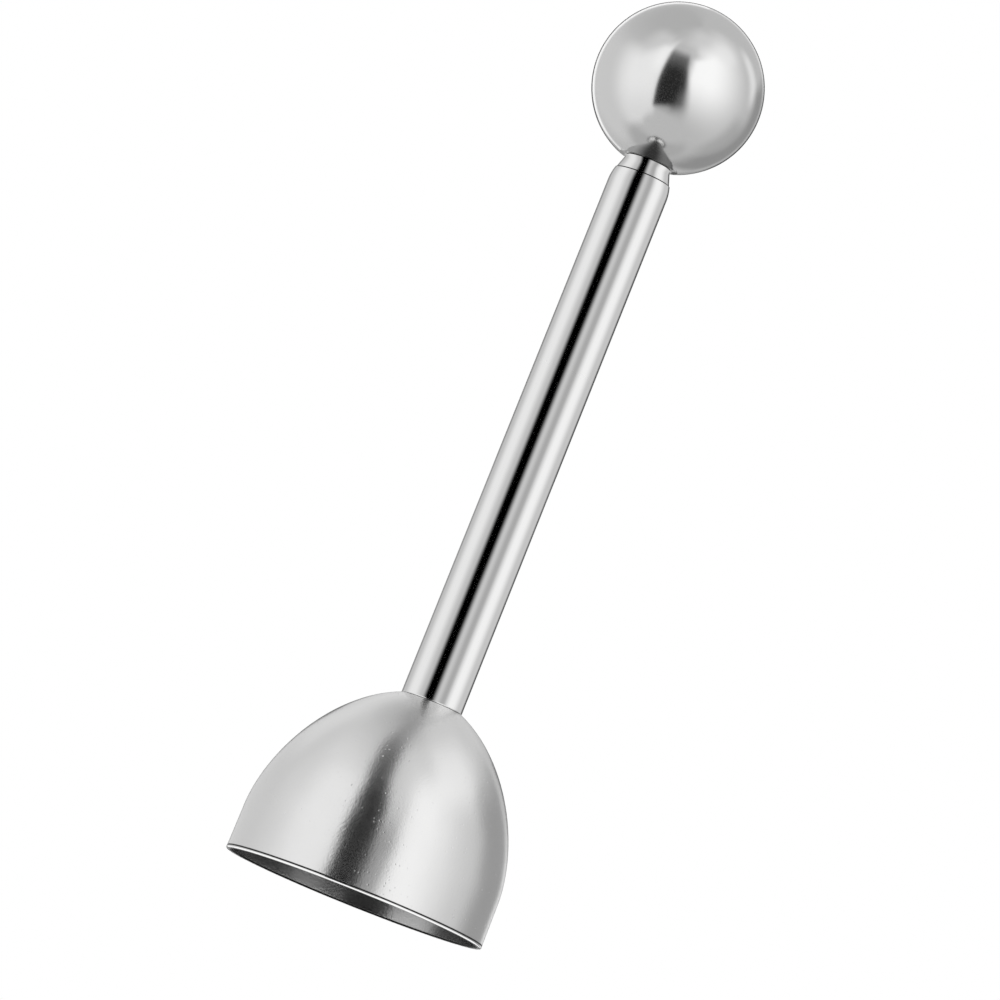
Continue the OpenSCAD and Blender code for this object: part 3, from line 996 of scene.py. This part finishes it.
# ---------------------------------------------------------------- floor and rim card
def make_floor():
    """Pale paper under the tool. It is drawn from above only, because the photograph's view
    is from just below it, and it fades into the white paper behind."""
    bm = bmesh.new()
    bmesh.ops.create_circle(bm, cap_ends=True, segments=96, radius=0.9)
    me = bpy.data.meshes.new("floor")
    bm.to_mesh(me)
    bm.free()
    o = bpy.data.objects.new("floor", me)
    o.location = (0, 0, -0.00005)
    scene.collection.objects.link(o)
    m = bpy.data.materials.new("pale_floor")
    m.use_nodes = True
    g = Graph(m.node_tree)
    place = g.node("ShaderNodeTexCoord").outputs["Object"]
    x, y, z = g.split(place)
    far = g.step(g.math("SQRT", g.mad(x, x, g.mul(y, y))), 0.10, 0.55)
    s = g.node("ShaderNodeBsdfPrincipled")
    s.inputs["Base Color"].default_value = (0.86, 0.86, 0.855, 1)
    s.inputs["Roughness"].default_value = 0.7
    s.inputs["Emission Color"].default_value = (1, 1, 1, 1)
    s.inputs["Emission Strength"].default_value = 0.30
    clear = g.node("ShaderNodeBsdfTransparent")
    under = g.node("ShaderNodeNewGeometry").outputs["Backfacing"]
    mix = g.node("ShaderNodeMixShader")
    g.put(mix.inputs[0], g.top(under, far))
    g.put(mix.inputs[1], s.outputs[0])
    g.put(mix.inputs[2], clear.outputs[0])
    out = g.node("ShaderNodeOutputMaterial")
    g.put(out.inputs["Surface"], mix.outputs[0])
    o.data.materials.append(m)
    o.visible_glossy = False
    o.visible_shadow = False


def finish_card(o, m, g, emission, amount):
    """A card that only reflections see, clear where amount is 0."""
    clear = g.node("ShaderNodeBsdfTransparent")
    mix = g.node("ShaderNodeMixShader")
    g.put(mix.inputs[0], amount)
    g.put(mix.inputs[1], clear.outputs[0])
    g.put(mix.inputs[2], emission.outputs[0])
    out = g.node("ShaderNodeOutputMaterial")
    g.put(out.inputs["Surface"], mix.outputs[0])
    o.data.materials.append(m)
    o.visible_camera = False
    o.visible_diffuse = False
    o.visible_shadow = False


def paper_of_turns(name, profile, n=96):
    """A turned sheet whose front is its inside, and the graph that shades it."""
    bm = bmesh.new()
    rows = [[bm.verts.new((r * math.cos(TAU * j / n) * MM, r * math.sin(TAU * j / n) * MM, z * MM)) for j in range(n)]
            for r, z in profile]
    for low, high in zip(rows, rows[1:]):
        for j in range(n):
            bm.faces.new((low[(j + 1) % n], low[j], high[j], high[(j + 1) % n]))
    me = bpy.data.meshes.new(name)
    bm.to_mesh(me)
    bm.free()
    o = bpy.data.objects.new(name, me)
    scene.collection.objects.link(o)
    m = bpy.data.materials.new(name)
    m.use_nodes = True
    m.cycles.emission_sampling = "NONE"
    g = Graph(m.node_tree)
    x, y, z = g.split(g.node("ShaderNodeTexCoord").outputs["Object"])
    turn = g.mul(g.math("ARCTAN2", x, g.mul(y, -1.0)), 180 / math.pi)
    e = g.node("ShaderNodeEmission")
    e.inputs["Color"].default_value = (1, 1, 1, 1)
    path = g.node("ShaderNodeLightPath").outputs
    front = g.sub(1.0, g.node("ShaderNodeNewGeometry").outputs["Backfacing"])
    return o, m, g, (x, y, z, turn), e, path, front


def make_tube_paper():
    """Graded paper wrapped close round the tube and collar, which they alone see: light on
    both sides, a black strip in front and a grey one to its right, dark at its far edges. Its
    top turns in under the ball's flat, above the collar's edge."""
    profile = [(6.30, SEAT_Z + 0.3)] + [(6.30, SEAT_Z + 1 + (SEAM_Z - 4 - SEAT_Z) * i / 12) for i in range(13)]
    profile += [(6.28, SEAM_Z - 2.3), (6.15, SEAM_Z - 1.2), (5.90, SEAM_Z - 0.1), (5.55, SEAM_Z + 0.9),
                (5.22, SEAM_Z + 1.8), (4.98, COLLAR_Z - 0.12), (4.90, COLLAR_Z + 0.02), (3.8, COLLAR_Z + 0.02),
                (3.45, COLLAR_Z + 0.02)]
    o, m, g, (x, y, z, turn), e, path, front = paper_of_turns("tube_paper", profile)
    far = g.math("ABSOLUTE", turn)
    level = g.blend(0.61, 0.95, g.mul(g.step(turn, -84, -56), g.step(turn, -26, -47)))
    level = g.blend(level, 0.66, g.step(turn, -6, 6))
    level = g.blend(level, 0.47, g.mul(g.step(turn, 9, 20), g.step(turn, 32, 22)))
    level = g.blend(level, 1.05, g.mul(g.step(turn, 24, 40), g.step(turn, 72, 47)))
    level = g.blend(level, 0.0, g.mul(g.step(turn, -26.5, -15.5), g.step(turn, 8.5, -4.0)))
    level = g.blend(level, 0.10, g.mul(g.step(turn, 88, 100), g.step(turn, 136, 124)))
    level = g.blend(level, 0.30, g.mul(g.step(turn, -90, -102), g.step(turn, -136, -124)))
    level = g.blend(level, 0.92, g.mul(g.step(far, 138, 152), g.step(far, 172, 160)))
    g.put(e.inputs["Strength"], level)
    near = g.step(path["Ray Length"], 0.0036, 0.0032)
    first = g.step(path["Ray Depth"], 1.6, 1.4)
    finish_card(o, m, g, e, g.mul(g.mul(near, first), front))


def make_neck_card():
    """Dark sheet round the tube, flaring downwards, which only the ball's underside sees: it
    gives the tube's reflection there its dark flared foot, over the bell's crown."""
    profile = [(7.9, COLLAR_Z - 58), (7.0, COLLAR_Z - 48), (6.3, COLLAR_Z - 38), (5.8, COLLAR_Z - 28),
               (5.45, COLLAR_Z - 18), (5.3, COLLAR_Z - 10), (5.2, COLLAR_Z - 4), (4.7, COLLAR_Z - 1.6), (3.9, COLLAR_Z - 0.15)]
    o, m, g, (x, y, z, turn), e, path, front = paper_of_turns("neck_card", profile)
    level = g.blend(0.34, 0.035, g.step(turn, -50, -8))
    level = g.blend(level, 0.17, g.step(turn, 6, 36))
    level = g.blend(level, 0.06, g.step(turn, 50, 84))
    g.put(e.inputs["Strength"], level)
    drop = g.sub(COLLAR_Z * MM, z)
    span = g.mul(g.step(g.sub(path["Ray Length"], drop), -0.0012, -0.0006),
                 g.step(g.sub(path["Ray Length"], g.mad(drop, 1.2, 0.006)), 0.001, -0.001))
    first = g.step(path["Ray Depth"], 1.6, 1.4)
    finish_card(o, m, g, e, g.mul(g.mul(span, first), g.sub(1.0, front)))


def make_bell_paper():
    """Dome of paper round the bell, which it alone sees, laid out like the light on the ball but
    higher: the black card runs up to the crown and fades there."""
    centre, size = 20.0, 70.0
    profile = [(size * math.cos(math.radians(e)), centre + size * math.sin(math.radians(e))) for e in range(-20, 89, 6)]
    o, m, g, (x, y, z, turn), e, path, front = paper_of_turns("bell_paper", profile, 128)
    # the height as the skirt and shoulder see it, and the turn likewise
    el = g.mul(g.math("ARCSINE", g.math("MINIMUM", g.mul(g.sub(z, centre * MM), 1 / (size * MM)), 1.0)), 180 / math.pi)
    el = g.add(el, 10.5)
    az = g.mul(turn, 1.165)
    level = g.blend(0.70, 0.57, g.step(el, 60, 78))
    level = g.blend(level, 0.72, g.mul(g.step(az, -20, 50), g.step(el, 58, 76)))
    level = g.blend(level, 0.39, g.mul(g.step(az, 20, -50), g.step(el, 76, 90)))
    level = g.blend(level, 0.80, g.box(az, el, -400, -128, 1, 12, 30, 60, 10, 10))
    # left box
    level = g.blend(level, 0.80, g.box(az, el, -104, 0, 20, 6, -40, 55, 10, 10))
    level = g.blend(level, 0.98, g.box(az, el, -78, 0, 18, 6, -40, 42, 10, 12))
    # right box, and its wide upper part
    level = g.blend(level, 0.98, g.box(az, el, 34, 114, 22, 30, 44, 77, 10, 12))
    level = g.blend(level, 0.76, g.box(az, el, -6, 40, 10, 10, 44, 74, 10, 10))
    right = g.mul(g.step(az, 6, 27), g.step(az, 93, 33))
    level = g.blend(level, 1.09, g.mul(right, g.step(el, 66, 44)))
    # dark screen at the far right
    level = g.blend(level, 0.37, g.box(az, el, 106, 160, 15, 6, -60, 48, 8, 13))
    # grey shelf on the right of the card
    level = g.blend(level, g.step(el, 8, 42, 0.38, 0.78), g.mul(g.step(az, 19, 10), g.mul(g.step(az, -20, -4), g.step(el, 48, 38))))
    # the card
    high = g.top(g.sub(el, 42.0), 0.0)
    left = g.sub(g.mad(high, -0.55, -30.4), g.mul(g.top(g.sub(el, 20.0), 0.0), 0.13))
    edge = g.math("MINIMUM", g.top(g.sub(el, 30.0), 0.0), 14.0)
    edge = g.sub(g.mad(high, -0.25, -1.3), g.mul(edge, 0.50))
    spread = g.mad(high, 0.22, 2.5)
    card = g.mul(g.step(g.math("DIVIDE", g.sub(az, edge), spread), 1.0, -1.0),
                 g.step(g.math("DIVIDE", g.sub(az, left), spread), -1.0, 1.0))
    pale = g.add(g.mul(g.step(el, 64, 34), 0.17), g.mul(g.step(el, 102, 58), 0.85))
    level = g.blend(level, g.step(el, 52, 30, 0.012, 0.036), g.mul(card, pale))
    # behind: dark for the outline, with a light line beside it
    behind = g.math("ABSOLUTE", turn)
    line = g.blend(0.72, g.step(el, 26, 8, 0.60, 0.86), g.step(turn, -10, 10))
    level = g.blend(level, line, g.mul(g.step(behind, 137, 143), g.step(el, 50, 42)))
    level = g.blend(level, 0.08, g.mul(g.step(behind, 149, 154), g.step(el, 36, 30)))
    g.put(e.inputs["Strength"], level)
    near = g.mul(g.step(path["Ray Length"], 0.0705, 0.0685), g.step(path["Ray Length"], 0.038, 0.042))
    few = g.step(path["Ray Depth"], 2.6, 2.4)
    finish_card(o, m, g, e, g.mul(g.mul(near, few), front))


def make_mouth_paper():
    """Strip inside the bell's mouth, which only the wall across from it sees."""
    o, m, g, (x, y, z, turn), e, path, front = paper_of_turns("mouth_paper", [(19.3, -0.2), (19.3, 3.0), (19.3, 6.2)])
    level = g.blend(0.042, 0.48, g.mul(g.step(turn, -140, -104), g.step(turn, -53, -58)))
    level = g.blend(level, 0.018, g.mul(g.step(turn, -58, -53), g.step(turn, 24, -8)))
    level = g.blend(level, 0.175, g.mul(g.step(turn, 32, 60), g.step(turn, 108, 76)))
    level = g.blend(level, 0.03, g.mul(g.step(turn, 100, 124), g.step(turn, 182, 160)))
    g.put(e.inputs["Strength"], level)
    first = g.step(path["Ray Depth"], 1.6, 1.4)
    finish_card(o, m, g, e, g.mul(first, front))


def make_rim_card():
    """White card just outside the rim, seen only in reflections: it lights the bead's underside."""
    bm = bmesh.new()
    n = 96
    rows = []
    for r in (0.0213, 0.0232):
        rows.append([bm.verts.new((r * math.cos(TAU * j / n), r * math.sin(TAU * j / n), -0.00026)) for j in range(n)])
    for j in range(n):
        bm.faces.new((rows[0][j], rows[1][j], rows[1][(j + 1) % n], rows[0][(j + 1) % n]))
    me = bpy.data.meshes.new("rim_card")
    bm.to_mesh(me)
    bm.free()
    o = bpy.data.objects.new("rim_card", me)
    scene.collection.objects.link(o)
    m = bpy.data.materials.new("card_white")
    m.use_nodes = True
    m.cycles.emission_sampling = "NONE"
    g = Graph(m.node_tree)
    e = g.node("ShaderNodeEmission")
    e.inputs["Strength"].default_value = 1.25
    close = g.step(g.node("ShaderNodeLightPath").outputs["Ray Length"], 0.0021, 0.0019)
    finish_card(o, m, g, e, close)


make_floor()
make_rim_card()
make_tube_paper()
make_neck_card()
make_bell_paper()
make_mouth_paper()
